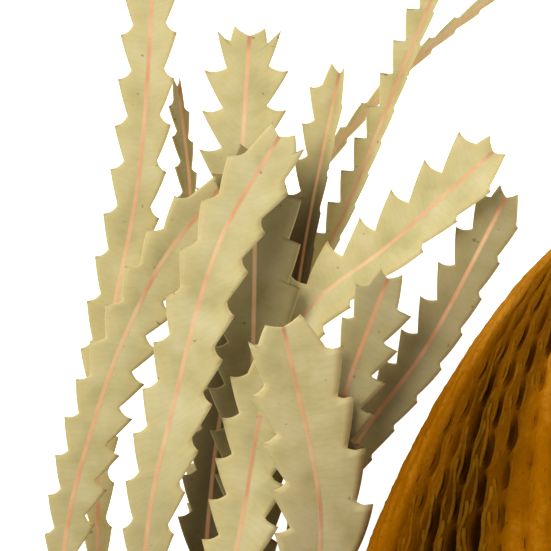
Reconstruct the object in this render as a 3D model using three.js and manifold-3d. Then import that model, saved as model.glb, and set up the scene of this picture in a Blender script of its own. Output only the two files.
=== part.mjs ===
// A banksia cone as picked, lying on a surface: the flower spike in bloom, the woody branch
// that carries it, and the long saw-toothed leaves that grow from the branch.
// Millimetres, +Z up. The origin is where the cone's widest part rests on the surface, z = 0, and
// +Y runs from the branch's cut end towards the tips of the leaves.
import * as THREE from 'three';
import { mergeVertices } from 'three/addons/utils/BufferGeometryUtils.js';
import Module from 'manifold-3d';

const wasm = await Module();
wasm.setup();

// Cone
const coneRadius = 39.6;
const coneBelly = new THREE.Vector3(0, 0, 37.5); // on the axis, where the cone is widest
const coneLean = 10; // degrees that the axis leans to the right of +Y
const noseLength = 91; // widest ring to tip
const heelLength = 52; // widest ring to the stem's end
const noseShape = { power: 1.5, root: 0.68 };
const heelShape = { power: 2.6, root: 0.6 };
const floretColumns = 44;
const floretRings = 42; // two to a floret, along the side
const floretHeight = { crest: 1.4, between: 0.2, groove: -1.0 };
const fullReliefRadius = 16; // where the cone is thinner than this, the relief fades towards its ends
const outlineSteps = 60;
const columnTwist = -45; // degrees that a column winds from heel to tip, leftwards as seen from above
const boreRadius = 6.3;
const boreDepth = 14;

// Branch
const branchRadius = 5;
const shootRadius = 3;
const collarRadius = 6;
const collarLength = 24;
const seatGap = 0.3;
const footRadius = 2; // the swollen foot of a leaf, on the branch
const footLength = 3.2;
const footSpread = 0.7; // how far a leaf's foot turns away from the branch
const budWidth = 1.2; // a shoot's end bud, in shoot radii
const budLength = 7;
const forkSwell = { width: 1.35, length: 10, direction: [0.2, 1, 0.4] }; // width in branch radii

// Leaves
const leafThickness = 0.7;
const petioleLength = 12;
const petioleHalfWidth = 1.1;
const leafBaseShare = 0.3;
const fullWidthAt = 0.62; // share of the length where the blade has its full width
const foldGrowth = 60; // distance from the root where a blade is fully folded
const blunt = { start: 4, length: 7 }; // how the blade narrows towards its blunt end
// the two small teeth beside the midrib's end: the last ones start closest to it
const horn = { pitch: 0.4, share: 0.36, reach: 1.8, closest: 0.15 };

const colours = { floret: 0xb8791f, bark: 0x7a6248, leaf: 0xc3b782 };

const coneAxis = new THREE.Vector3(
  Math.sin(THREE.MathUtils.degToRad(coneLean)),
  Math.cos(THREE.MathUtils.degToRad(coneLean)),
  0,
);

// Distance along the cone's axis from the widest ring, as a point on the axis.
function onAxis(distance) {
  return coneBelly.clone().addScaledVector(coneAxis, distance);
}

const vector = (x, y, z) => new THREE.Vector3(x, y, z);
const smooth = (points) => new THREE.CatmullRomCurve3(points, false, 'catmullrom');

// The branch from its cut end to the cone, and the two side shoots that fork from it.
const collarFoot = onAxis(-heelLength + boreDepth - collarLength);
const fork = vector(-14, -78, 26);
const axes = {
  branch: {
    curve: smooth([vector(-28, -128, 4.8), vector(-21, -102, 12), fork, collarFoot, onAxis(-heelLength - 2)]),
    radius: branchRadius,
  },
  left: {
    curve: smooth([fork, vector(-40, -60, 14), vector(-70, -40, 12), vector(-90, -22, 12.5)]),
    radius: shootRadius,
  },
  middle: {
    curve: smooth([vector(-36, -62, 15), vector(-52, -44, 11.5), vector(-60, -26, 11), vector(-62, -10, 12)]),
    radius: shootRadius,
  },
};

// Each leaf grows on an axis: at is the share of the way along it, and turn the degrees round it
// from the top towards the right. Its midrib then runs through the points of path to the blunt end.
// half is the half width at the tips of the teeth (left, right), and pitch the distance between them.
// As shares of the pitch, shift moves the teeth towards the end (left, right), and tip is how far
// a tooth's tip lies beyond its lower notch. notch is the half width left there (left, right), as
// a share. roll turns the blade about the midrib in degrees (root, end) with its left side up, and
// fold lifts its halves in degrees (left, right).
const leaves = [
  // round the left shoot
  { on: 'left', at: 0.93, turn: -10, half: [6.1, 5.6], pitch: 9.2, shift: [0.06, 0.15], tip: 0.78,
    notch: [0.58, 0.58], roll: [0, -6], fold: [6, 6],
    path: [[-90.5, 16, 14], [-89.3, 56, 18], [-81.8, 98, 22], [-78.3, 149, 24]] },
  { on: 'left', at: 0.96, turn: -60, half: [6.4, 7.4], pitch: 8.1, shift: [-0.23, 0.2], tip: 0.8,
    notch: [0.58, 0.55], roll: [8, 10], fold: [8, 8],
    path: [[-97.6, 14, 23], [-90.4, 48, 30], [-78.6, 76, 34], [-65.5, 93.5, 34]] },
  { on: 'left', at: 0.85, turn: 30, half: [7.1, 7.6], pitch: 9.5, shift: [-0.28, 0.7], tip: 0.76,
    notch: [0.62, 0.7], roll: [0, 8], fold: [8, 8],
    path: [[-80.5, 18, 31], [-74, 52, 39], [-65.5, 82, 42], [-53.3, 104, 40]] },
  { on: 'left', at: 0.97, turn: 130, half: [3.7, 2.2], pitch: 6.5, shift: [0, -0.3], tip: 0.85,
    notch: [0.5, 0.5], roll: [0, 45], fold: [10, 10],
    path: [[-82, 21, 8], [-74.9, 56, 9], [-71.8, 88, 11], [-74.3, 115, 14]] },
  { on: 'left', at: 0.88, turn: -100, half: [7, 7], pitch: 8.5, shift: [0, -0.4], tip: 0.85,
    notch: [0.55, 0.55], roll: [0, 0], fold: [8, 8],
    path: [[-114, -12, 11], [-130, 8, 8], [-144, 36, 3]] },
  { on: 'left', at: 0.72, turn: -110, half: [6.5, 6.5], pitch: 8, shift: [0, -0.3], tip: 0.85,
    notch: [0.55, 0.55], roll: [0, 0], fold: [8, 8],
    path: [[-112, -36, 9], [-134, -32, 5], [-155, -21, 1]] },

  // round the middle shoot
  { on: 'middle', at: 0.6, turn: -10, half: [7.6, 7.6], pitch: 9, shift: [0, -0.4], tip: 0.85,
    notch: [0.55, 0.6], roll: [0, 4], fold: [8, 8],
    path: [[-63, 6, 24], [-59.5, 34, 29.5], [-55, 59, 36]] },
  { on: 'middle', at: 0.7, turn: -60, half: [6.5, 6.5], pitch: 8.5, shift: [0, -0.2], tip: 0.85,
    notch: [0.55, 0.55], roll: [0, 0], fold: [6, 6],
    path: [[-68.5, 6, 17.5], [-66.8, 36, 20], [-62.5, 64, 23.5]] },
  { on: 'middle', at: 0.8, turn: -15, half: [9, 9.4], pitch: 9, shift: [0, -0.6], tip: 0.9,
    notch: [0.6, 0.75], roll: [0, 0], fold: [5, 5],
    path: [[-59.5, 14, 20], [-59, 44, 23.5], [-58.4, 70, 28.5], [-58, 101, 32]] },
  { on: 'middle', at: 0.93, turn: -100, half: [8.9, 8.6], pitch: 8, shift: [0.56, 0.68], tip: 0.93,
    notch: [0.5, 0.5], roll: [0, 0], fold: [5, 5],
    path: [[-68, 16, 12.5], [-66, 58, 17], [-61.5, 94, 23], [-59.3, 125, 26]] },
  { on: 'middle', at: 0.74, turn: 45, half: [6, 7.2], pitch: 7.4, shift: [0.1, -0.3], tip: 0.93,
    notch: [0.6, 0.55], roll: [0, 8], fold: [8, 8],
    path: [[-49, 16, 17.5], [-41, 49, 33], [-31.5, 75.4, 42]] },
  { on: 'middle', at: 0.93, turn: 55, half: [8.2, 7.4], pitch: 9, shift: [0.24, -0.1], tip: 0.92,
    notch: [0.48, 0.8], roll: [0, 0], fold: [5, 40],
    path: [[-60, 24, 15.5], [-50.5, 64, 22.5], [-30, 83, 31], [-10, 101, 36]] },
  { on: 'middle', at: 0.88, turn: 95, half: [6.4, 5.2], pitch: 8.3, shift: [0.32, 0], tip: 0.88,
    notch: [0.48, 0.8], roll: [0, -12], fold: [12, 7],
    path: [[-49, 21, 13], [-36.3, 43, 20], [-22.4, 62.7, 28], [-7.3, 91.8, 34]] },
  { on: 'middle', at: 0.99, turn: 150, half: [5.6, 4.2], pitch: 7.6, shift: [0, -0.3], tip: 0.85,
    notch: [0.55, 0.85], roll: [0, 0], fold: [8, 62],
    path: [[-59, 21, 9.5], [-52, 56, 12.5], [-47.2, 86, 16], [-40.8, 117.6, 20]] },
  { on: 'middle', at: 0.84, turn: 150, half: [4.2, 2.8], pitch: 7.2, shift: [-0.35, -0.2], tip: 0.9,
    notch: [0.4, 0.8], roll: [0, 0], fold: [6, 55],
    path: [[-59, 26, 6.2], [-52, 62, 8.6], [-38.8, 91, 11], [-27.5, 119, 14], [-18, 142, 17]] },
  { on: 'middle', at: 0.85, turn: -150, half: [2.3, 1.7], pitch: 6.6, shift: [0, -0.3], tip: 0.85,
    notch: [0.5, 0.6], roll: [0, 55], fold: [6, 6],
    path: [[-67, 28, 4.2], [-59, 62, 4.8], [-45.2, 97.2, 6], [-25.4, 120.4, 7], [-3, 139, 8]] },

  // broad leaf under the cone's left flank
  { on: 'branch', at: 0.72, turn: -80, half: [10, 11], pitch: 11.3, shift: [0.47, -0.21], tip: 0.92,
    notch: [0.65, 0.68], roll: [8, 14], fold: [6, 6],
    path: [[-37, -38, 12], [-46, -3, 18], [-45, 29, 29.5], [-52.5, 65.7, 46]] },

  // round the cone's right flank and its lower end
  { on: 'branch', at: 0.84, turn: 75, half: [8, 8], pitch: 9.2, shift: [0, -0.4], tip: 0.88,
    notch: [0.58, 0.55], roll: [0, -10], fold: [8, 8],
    path: [[26, -48, 23], [47, -16, 18], [56, 24, 12], [58, 66, 4]] },
  { on: 'branch', at: 0.75, turn: 100, half: [7.5, 7.5], pitch: 9, shift: [0, -0.2], tip: 0.85,
    notch: [0.55, 0.58], roll: [0, 0], fold: [8, 8],
    path: [[22, -70, 14], [52, -48, 8], [72, -14, 4], [81, 24, 0.6]] },
  { on: 'branch', at: 0.64, turn: 95, half: [7.5, 7.5], pitch: 8.8, shift: [0, -0.5], tip: 0.9,
    notch: [0.6, 0.55], roll: [0, 0], fold: [8, 8],
    path: [[16, -92, 12], [46, -84, 6], [74, -64, 0.6]] },
  { on: 'branch', at: 0.86, turn: 10, half: [6.5, 6.5], pitch: 8.4, shift: [0, -0.3], tip: 0.85,
    notch: [0.55, 0.55], roll: [0, 0], fold: [8, 8],
    path: [[-4, -53, 66], [2, -30, 83], [7, -2, 88]] },
  { on: 'branch', at: 0.8, turn: -30, half: [6.5, 6.5], pitch: 8, shift: [0, -0.1], tip: 0.85,
    notch: [0.58, 0.55], roll: [0, 14], fold: [8, 8],
    path: [[-26, -57, 58], [-34, -36, 70], [-40, -8, 74]] },
  { on: 'branch', at: 0.25, turn: 90, half: [6.8, 6.8], pitch: 8.4, shift: [0, -0.4], tip: 0.88,
    notch: [0.55, 0.58], roll: [0, 0], fold: [8, 8],
    path: [[8, -122, 9], [36, -127, 5], [62, -122, 0.6]] },
  { on: 'branch', at: 0.5, turn: -90, half: [7.5, 7.5], pitch: 9, shift: [0, -0.2], tip: 0.85,
    notch: [0.58, 0.6], roll: [0, 0], fold: [8, 8],
    path: [[-50, -90, 11], [-78, -82, 5], [-104, -66, 0.6]] },
  { on: 'branch', at: 0.23, turn: -80, half: [6.5, 6.5], pitch: 8, shift: [0, -0.5], tip: 0.88,
    notch: [0.55, 0.55], roll: [0, 0], fold: [8, 8],
    path: [[-52, -118, 7], [-76, -122, 4], [-98, -120, 0.6]] },
];

const group = new THREE.Group();

function addMesh(name, geometry, colour, roughness) {
  geometry.computeVertexNormals();
  const material = new THREE.MeshStandardMaterial({ color: colour, roughness, metalness: 0 });
  const mesh = new THREE.Mesh(geometry, material);
  mesh.name = name;
  group.add(mesh);
}

// Closed geometry with shared corners, as a solid for joining.
function toSolid(geometry) {
  geometry.deleteAttribute('normal');
  geometry.deleteAttribute('uv');
  const merged = mergeVertices(geometry, 1e-4);
  const vertProperties = new Float32Array(merged.attributes.position.array);
  const triVerts = new Uint32Array(merged.index.array);
  return new wasm.Manifold(new wasm.Mesh({ numProp: 3, vertProperties, triVerts }));
}

function toGeometry(solid) {
  const mesh = solid.getMesh();
  const geometry = new THREE.BufferGeometry();
  geometry.setAttribute('position', new THREE.BufferAttribute(mesh.vertProperties, 3));
  geometry.setIndex(new THREE.BufferAttribute(mesh.triVerts, 1));
  return geometry;
}

// Side of the cone from heel to tip: [radius, distance along the axis] at even steps.
function coneSide() {
  const outline = [];
  for (let i = 0; i <= outlineSteps; i += 1) {
    const angle = (i / outlineSteps - 0.5) * Math.PI;
    const shape = angle < 0 ? heelShape : noseShape;
    const length = angle < 0 ? heelLength : noseLength;
    const reach = Math.abs(Math.sin(angle));
    const radius = coneRadius * (1 - reach ** shape.power) ** shape.root;
    outline.push(new THREE.Vector2(radius, Math.sign(angle) * reach * length));
  }
  return new THREE.SplineCurve(outline).getSpacedPoints(floretRings);
}

// Height of the florets above the side: crests alternate from column to column.
function floretRelief(ring, segment, radius) {
  const fade = Math.min(1, radius / fullReliefRadius);
  if (segment % 2 === 1) {
    return floretHeight.groove * fade;
  }
  const onCrest = (ring + segment / 2) % 2 === 1;
  return (onCrest ? floretHeight.crest : floretHeight.between) * fade;
}

function makeCone() {
  const side = coneSide().filter((point) => point.x > boreRadius + 1 || point.y > 0);
  side[side.length - 1].x = 0;
  const bore = [
    new THREE.Vector2(0, -heelLength + boreDepth),
    new THREE.Vector2(boreRadius, -heelLength + boreDepth),
    new THREE.Vector2(boreRadius, -heelLength),
  ];
  const profile = [...bore, ...side];
  const segments = floretColumns * 2;
  const geometry = new THREE.LatheGeometry(profile, segments);
  const position = geometry.attributes.position;
  const twist = THREE.MathUtils.degToRad(columnTwist);
  const flat = new THREE.Vector3();
  for (let i = 0; i < position.count; i += 1) {
    const segment = Math.floor(i / profile.length) % segments;
    const ring = i % profile.length;
    const { x: radius, y: along } = profile[ring];
    const outside = ring >= bore.length;
    const height = outside ? floretRelief(ring, segment, radius) : 0;
    const turn = (along / (noseLength + heelLength)) * twist;
    const angle = (segment / segments) * 2 * Math.PI + turn;
    flat.set(Math.sin(angle) * (radius + height), along, Math.cos(angle) * (radius + height));
    flat.applyAxisAngle(new THREE.Vector3(0, 0, 1), -THREE.MathUtils.degToRad(coneLean));
    flat.add(coneBelly);
    position.setXYZ(i, flat.x, flat.y, Math.max(0, flat.z));
  }
  addMesh('cone', toGeometry(toSolid(geometry)), colours.floret, 0.9);
}

// Round bar along a curve.
function bar(curve, radius, sides, steps) {
  const section = new THREE.Shape().absarc(0, 0, radius, 0, 2 * Math.PI);
  return toSolid(new THREE.ExtrudeGeometry(section, {
    extrudePath: curve,
    curveSegments: sides / 2,
    steps,
    bevelEnabled: false,
  }));
}

// A bud, a swelling or a leaf's foot: a ball stretched along the way it grows.
function swelling(centre, direction, radius, length, sides = 8) {
  const ball = new THREE.SphereGeometry(radius, sides, sides / 2);
  ball.scale(1, length / radius, 1);
  ball.applyQuaternion(new THREE.Quaternion().setFromUnitVectors(vector(0, 1, 0), direction));
  ball.translate(centre.x, centre.y, centre.z);
  return toSolid(ball);
}

// Where a leaf's foot sits on its axis, and the way that the leaf sets out from it.
function leafFoot(leaf) {
  const { curve, radius } = axes[leaf.on];
  const tangent = curve.getTangentAt(leaf.at);
  const right = tangent.clone().cross(vector(0, 0, 1)).normalize();
  const out = right.clone().cross(tangent).applyAxisAngle(tangent, THREE.MathUtils.degToRad(leaf.turn));
  const place = curve.getPointAt(leaf.at).addScaledVector(out, radius);
  const direction = vector(...leaf.path[0]).sub(place).normalize();
  direction.addScaledVector(out, footSpread).normalize();
  return { place, direction };
}

function makeStem() {
  const collarTop = onAxis(-heelLength + boreDepth - seatGap);
  const pieces = [
    bar(axes.branch.curve, branchRadius, 10, 14),
    bar(new THREE.LineCurve3(collarFoot, collarTop), collarRadius, 12, 1),
    bar(axes.left.curve, shootRadius, 8, 10),
    bar(axes.middle.curve, shootRadius, 8, 7),
  ];
  const forkWay = vector(...forkSwell.direction).normalize();
  pieces.push(swelling(fork, forkWay, branchRadius * forkSwell.width, forkSwell.length));
  for (const { curve, radius } of [axes.left, axes.middle]) {
    pieces.push(swelling(curve.getPoint(1), curve.getTangent(1), radius * budWidth, budLength));
  }
  for (const leaf of leaves) {
    const { place, direction } = leafFoot(leaf);
    pieces.push(swelling(place, direction, footRadius, footLength, 6));
  }
  const stem = pieces.reduce((whole, piece) => whole.add(piece));
  addMesh('stem', toGeometry(stem), colours.bark, 0.85);
}

// Half width of the blade at the tooth tips of one half (0 left, 1 right), at a distance from the root.
function bladeHalfWidth(leaf, half, distance, length) {
  const grown = THREE.MathUtils.smoothstep(distance, petioleLength, length * fullWidthAt);
  const fromEnd = Math.max(0, length - distance);
  const end = Math.sqrt(Math.min(1, (fromEnd + blunt.start) / blunt.length));
  return leaf.half[half] * (leafBaseShare + (1 - leafBaseShare) * grown) * end;
}

// One leaf: a blade of even thickness whose two faces share one pattern of triangles.
function makeLeaf(leaf, name) {
  const { place, direction } = leafFoot(leaf);
  const root = place.addScaledVector(direction, footLength + seatGap);
  const curve = smooth([root, ...leaf.path.map((p) => vector(...p))]);
  const length = curve.getLength();
  const shortfall = 1 - horn.pitch;
  const teeth = Math.round((length - petioleLength) / leaf.pitch + shortfall);
  const pitch = (length - petioleLength) / (teeth - shortfall);
  const upper = [];
  const lower = [];

  // Adds the point of both faces at a distance from the root and to one side of the midrib.
  function addPoint(distance, side) {
    const share = THREE.MathUtils.clamp(distance / length, 0, 1);
    const tangent = curve.getTangentAt(share);
    const roll = THREE.MathUtils.degToRad(THREE.MathUtils.lerp(...leaf.roll, share));
    const across = new THREE.Vector3().crossVectors(tangent, vector(0, 0, 1)).normalize();
    across.applyAxisAngle(tangent, roll);
    const normal = new THREE.Vector3().crossVectors(across, tangent);
    const fold = THREE.MathUtils.degToRad(leaf.fold[side < 0 ? 0 : 1]) * Math.min(1, distance / foldGrowth);
    const point = curve.getPointAt(share)
      .addScaledVector(across, side * Math.cos(fold))
      .addScaledVector(normal, Math.abs(side) * Math.sin(fold))
      .addScaledVector(tangent, Math.max(0, distance - length));
    const half = leafThickness / 2 / Math.cos(fold / 2);
    upper.push(point.clone().addScaledVector(normal, half));
    lower.push(point.addScaledVector(normal, -half));
    return upper.length - 1;
  }

  const rootMid = addPoint(0, 0);
  const mid = [];
  for (let k = 0; k < teeth; k += 1) {
    mid.push(addPoint(petioleLength + k * pitch, 0));
  }
  mid.push(addPoint(length, 0));

  // Edge of one half (0 left, 1 right) from the root to the end of the midrib, with its triangles.
  function addHalf(half) {
    const sign = half === 0 ? -1 : 1;
    const faces = [];
    const rootEdge = addPoint(0, sign * petioleHalfWidth);
    const notches = [];
    const tips = [];
    for (let k = 0; k < teeth; k += 1) {
      const inPlace = petioleLength + (k + leaf.shift[half]) * pitch;
      const notchAt = THREE.MathUtils.clamp(inPlace, petioleLength / 2, length - horn.closest * pitch);
      const notchWidth = bladeHalfWidth(leaf, half, notchAt, length) * leaf.notch[half];
      notches.push(addPoint(notchAt, sign * Math.max(petioleHalfWidth, notchWidth)));
      if (k === teeth - 1) {
        tips.push(addPoint(length + horn.reach, sign * horn.share * leaf.half[half]));
      } else {
        const tipAt = notchAt + leaf.tip * pitch;
        tips.push(addPoint(tipAt, sign * bladeHalfWidth(leaf, half, tipAt, length)));
      }
    }
    notches.push(mid[teeth]);
    faces.push([rootMid, mid[0], rootEdge], [mid[0], notches[0], rootEdge]);
    for (let k = 0; k < teeth; k += 1) {
      faces.push([mid[k], mid[k + 1], notches[k]]);
      if (k < teeth - 1) {
        faces.push([mid[k + 1], notches[k + 1], notches[k]]);
      }
      faces.push([notches[k], notches[k + 1], tips[k]]);
    }
    const edge = [rootMid, rootEdge];
    for (let k = 0; k < teeth; k += 1) {
      edge.push(notches[k], tips[k]);
    }
    edge.push(mid[teeth]);
    return { faces, edge };
  }

  const left = addHalf(0);
  const right = addHalf(1);
  const offset = upper.length;
  const index = [];
  // The left half's triangles run the other way round, seen from above.
  for (const [a, b, c] of left.faces) {
    index.push(a, b, c, a + offset, c + offset, b + offset);
  }
  for (const [a, b, c] of right.faces) {
    index.push(a, c, b, a + offset, b + offset, c + offset);
  }
  const rim = [...left.edge, ...right.edge.slice(1, -1).reverse()];
  for (let i = 0; i < rim.length; i += 1) {
    const a = rim[i];
    const b = rim[(i + 1) % rim.length];
    index.push(a, b, b + offset, a, b + offset, a + offset);
  }
  const geometry = new THREE.BufferGeometry().setFromPoints([...upper, ...lower]);
  geometry.setIndex(index);
  addMesh(name, geometry, colours.leaf, 0.75);
}

makeCone();
makeStem();
leaves.forEach((leaf, i) => makeLeaf(leaf, `leaf_${String(i + 1).padStart(2, '0')}`));

export default group;
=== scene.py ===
# A banksia cone as picked: the flower spike, the woody branch that carries it and its saw-toothed
# leaves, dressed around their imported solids. Metres; sizes in the dictionaries are millimetres.
import math

import bpy
import numpy as np
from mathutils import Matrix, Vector


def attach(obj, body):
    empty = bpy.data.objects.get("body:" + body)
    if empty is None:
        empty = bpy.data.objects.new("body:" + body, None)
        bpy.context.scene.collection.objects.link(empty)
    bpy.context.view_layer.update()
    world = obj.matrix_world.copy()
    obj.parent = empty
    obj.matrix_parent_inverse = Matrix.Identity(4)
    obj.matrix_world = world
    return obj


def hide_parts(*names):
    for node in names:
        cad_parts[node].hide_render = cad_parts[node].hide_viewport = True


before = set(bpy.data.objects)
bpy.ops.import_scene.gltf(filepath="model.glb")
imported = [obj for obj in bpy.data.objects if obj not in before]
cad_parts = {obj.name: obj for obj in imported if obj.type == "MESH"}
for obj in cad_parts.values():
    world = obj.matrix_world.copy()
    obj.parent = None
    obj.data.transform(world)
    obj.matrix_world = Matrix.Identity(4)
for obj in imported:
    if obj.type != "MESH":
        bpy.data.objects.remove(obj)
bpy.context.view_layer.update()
mm = 0.001
chance = np.random.default_rng(11)


def toLinear(hexColour):
    parts = [int(hexColour[i:i + 2], 16) / 255 for i in (1, 3, 5)]
    return [v / 12.92 if v <= 0.04045 else ((v + 0.055) / 1.055) ** 2.4 for v in parts] + [1]


# one node with its settings (sockets by name or number, properties by name) and its links
def addNode(tree, kind, settings=None, links=None):
    node = tree.nodes.new("ShaderNode" + kind)
    for name, value in (settings or {}).items():
        if name == "stops":
            ramp = node.color_ramp
            while len(ramp.elements) < len(value):
                ramp.elements.new(0.5)
            for element, (place, colour) in zip(ramp.elements, value):
                element.position = place
                element.color = toLinear(colour)
        elif isinstance(name, int) or name in node.inputs:
            node.inputs[name].default_value = value
        else:
            setattr(node, name, value)
    for name, source in (links or {}).items():
        tree.links.new(source, node.inputs[name])
    return node


def newMaterial(name, settings):
    material = bpy.data.materials.new(name)
    material.use_nodes = True
    shader = material.node_tree.nodes["Principled BSDF"]
    for label, value in settings.items():
        shader.inputs[label].default_value = value
    return material, material.node_tree, shader


# the three numbers that a mesh keeps on each point
def readKept(tree, label):
    kept = addNode(tree, "Attribute", {"attribute_name": label})
    parts = addNode(tree, "SeparateXYZ", {}, {"Vector": kept.outputs["Vector"]})
    return [parts.outputs[k] for k in "XYZ"]


def smoothstep(low, high, value):
    t = np.clip((np.asarray(value, float) - low) / (high - low), 0, 1)
    return t * t * (3 - 2 * t)


def lengthOf(vectors):
    return np.linalg.norm(vectors, axis=-1, keepdims=True)


def turnAbout(vectors, axis, angle):
    c, s = np.cos(angle)[..., None], np.sin(angle)[..., None]
    along = (vectors * axis).sum(-1, keepdims=True)
    return vectors * c + np.cross(axis, vectors) * s + axis * along * (1 - c)


# smooth curve through points, sampled by distance: places and directions at any distance from its start
class Track:
    def __init__(self, points, samples=500):
        points = np.asarray(points, float)
        ends = np.array([2 * points[0] - points[1], *points, 2 * points[-1] - points[-2]])
        spans = len(points) - 1
        t = np.linspace(0, spans, samples)
        i = np.minimum(t.astype(int), spans - 1)
        u = (t - i)[:, None]
        a, b, c, d = (ends[i + k] for k in range(4))
        start, stop = (c - a) / 2, (d - b) / 2
        square, cube = 3 * (c - b) - 2 * start - stop, 2 * (b - c) + start + stop
        self.place = b + start * u + square * u**2 + cube * u**3
        heading = start + 2 * square * u + 3 * cube * u**2
        self.heading = heading / lengthOf(heading)
        steps = np.linalg.norm(np.diff(self.place, axis=0), axis=1)
        self.far = np.concatenate([[0], np.cumsum(steps)])
        self.length = self.far[-1]

    def at(self, distance):
        return np.stack([np.interp(distance, self.far, self.place[:, k]) for k in range(3)], -1)

    def headingAt(self, distance):
        h = np.stack([np.interp(distance, self.far, self.heading[:, k]) for k in range(3)], -1)
        return h / lengthOf(h)


def addObject(name, data):
    made = bpy.data.objects.new(name, data)
    bpy.context.collection.objects.link(made)
    return made


# mesh object from points in millimetres, with named numbers or triples kept on its points
def makePiece(name, points, faces, material, kept=None):
    mesh = bpy.data.meshes.new(name)
    mesh.from_pydata((np.asarray(points) * mm).tolist(), [], faces)
    for label, values in (kept or {}).items():
        values = np.asarray(values, np.float32)
        kind, field = ("FLOAT_VECTOR", "vector") if values.ndim == 2 else ("FLOAT", "value")
        mesh.attributes.new(label, kind, "POINT").data.foreach_set(field, values.ravel())
    mesh.shade_smooth()
    mesh.materials.append(material)
    return addObject(name, mesh)


# tubes along many paths at once: paths and outward are (tube, step, 3), width and height (tube, step)
def sweepTubes(paths, outward, width, height, sides):
    tubes, steps = paths.shape[:2]
    heading = np.gradient(paths, axis=1)
    heading /= lengthOf(heading)
    across = np.cross(heading, outward)
    across /= lengthOf(across)
    up = np.cross(across, heading)
    turn = np.arange(sides) * 2 * np.pi / sides
    ring = (paths[:, :, None]
            + across[:, :, None] * (width[:, :, None] * np.cos(turn))[..., None]
            + up[:, :, None] * (height[:, :, None] * np.sin(turn))[..., None])
    number = np.arange(tubes * steps * sides).reshape(tubes, steps, sides)
    after = np.roll(number, -1, axis=2)
    quads = np.stack([number[:, :-1], after[:, :-1], after[:, 1:], number[:, 1:]], -1).reshape(-1, 4)
    faces = quads.tolist() + number[:, 0, ::-1].tolist() + number[:, -1].tolist()
    return ring.reshape(-1, 3), faces


# the cone: a skin of florets with gaps between them, styles along the gaps, and a nap

cone = {
    "radius": 39.6, "belly": (0, 0, 37.5), "lean": 10,
    "nose": 91, "noseShape": (1.5, 0.68),
    "heel": 52, "heelShape": (2.6, 0.6),
    "columns": 44, "rows": 21, "twist": -45,
    "bore": 6.3, "boreDepth": 14, "boreMiddle": 0.4,
    "finest": 16,  # relief fades where the cone's radius is less than this
    "lowest": 0.02,  # height above the floor
}

florets = {
    # a column's points, in pitches, and the rings along the cone
    "across": (-0.5, -0.36, -0.27, -0.2, -0.12, 0, 0.12, 0.2, 0.27, 0.36), "steps": 224,
    "rib": 0.75, "seam": 0.3, "bead": 0.3,
    "sway": 0.4,  # how far the ribs between the gaps swing to each side
    "gapDepth": 1.7, "gapHalf": 1.0, "gapLong": 4.4,
    "closedHalf": 0.3, "closedLong": 0.4,  # shares of its size that a closed gap keeps
    "openUnshaded": 0.04, "openInShade": 0.8,  # how open a gap is outside the painted shade, and how much more so in full painted shade
    "ownOpen": 0.3, "ownUnshaded": 0.25, "openLimits": (0.01, 1.1),
    "foldHeight": 0.13, "foldsPerMm": 4.4, "uneven": 0.07,
    "seamShade": 0.2,
}

# painted shade on the flanks, in brown bands: radians round the cone, millimetres along it from its widest
# ring
flanks = {
    # angle, drift of the dark core with distance, reach to the left and to the right, half width of the core
    # at the belly and at the nose, strength
    "bands": ((-0.71, -0.0085, 0.39, 0.24, 0.25, 0.11, 1), (1.5, 0.003, 0.4, 0.35, 0.3, 0.15, 0.75),
              (2.75, -0.004, 0.45, 0.3, 0.3, 0.15, 0.9), (-2.3, 0.004, 0.35, 0.35, 0.3, 0.15, 0.8)),
    "narrows": (22, 42), "driftFrom": 33, "driftLong": 26, "coreSoft": 0.06,
    "coreFades": (48, 64), "coreFading": 0.35,
    "rightShade": 0.74, "rightSoft": 0.07, "rightSofter": 0.15, "softens": (50, 35),
    "leftShade": 0.66, "leftSoft": 0.16, "inside": 0.05,
    "ends": (104, 62),
    "paler": 0.42, "palerAlong": (40, 72),  # florets outside the painted shade, towards the nose
}

styles = {
    "wide": 0.62, "high": 0.27, "sides": 6, "steps": 13, "share": 0.85,
    "ends": (0.04, 0.975),  # shares of the cone's side between which they grow
    "long": 1.9, "ownLong": 0.2, "ownStart": 0.15,  # in a floret's length
    "besideGap": 0.45, "ownSpread": 0.2,
    "spread": 2.3, "spreadPower": 1.5, "spreadLong": 0.6, "spreadMost": 1.1,
    "foot": -1.1, "rise": 1.1, "ownRise": 0.08, "unshadedSunk": 0.6,
    "knobAt": 0.93, "knob": 0.3,
}

nap = {
    "count": 8000, "long": 0.9, "ownLong": 0.35, "radius": 0.05, "taper": 0.75,
    "ends": (0.06, 0.99), "hollowMost": 0.25,
    "ahead": 0.8, "aside": 0.5, "up": 0.45, "foot": -0.1,
}


def coneSide():
    angle = np.linspace(-0.5, 0.5, 4001) * np.pi
    reach = np.abs(np.sin(angle))
    ahead = angle >= 0
    nose, heel = (*cone["noseShape"], cone["nose"]), (*cone["heelShape"], -cone["heel"])
    power, root, far = (np.where(ahead, *both) for both in zip(nose, heel))
    radius = cone["radius"] * np.clip(1 - reach**power, 0, 1) ** root
    along = reach * far
    steps = np.hypot(np.diff(radius), np.diff(along))
    return radius, along, np.concatenate([[0], np.cumsum(steps)])


sideRadius, sideAlong, sideFar = coneSide()
sideLength = sideFar[-1]
unit = sideLength / cone["rows"]
columnPitch = 2 * np.pi * cone["radius"] / cone["columns"]
gapChance = chance.uniform(-1, 1, (cone["columns"], cone["rows"] + 2))


# the cone's radius, and the place on its axis, at a distance along its side
def radiusAt(far):
    return np.interp(far, sideFar, sideRadius)


def axisAt(far):
    return np.interp(far, sideFar, sideAlong)


# a point at an angle round the leaning axis
def leaned(angle, radius, along):
    lean = math.radians(cone["lean"])
    x, z = np.sin(angle) * radius, np.cos(angle) * radius
    leanedX = x * math.cos(lean) + along * math.sin(lean)
    return np.stack([leanedX, along * math.cos(lean) - x * math.sin(lean), z], -1)


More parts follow.
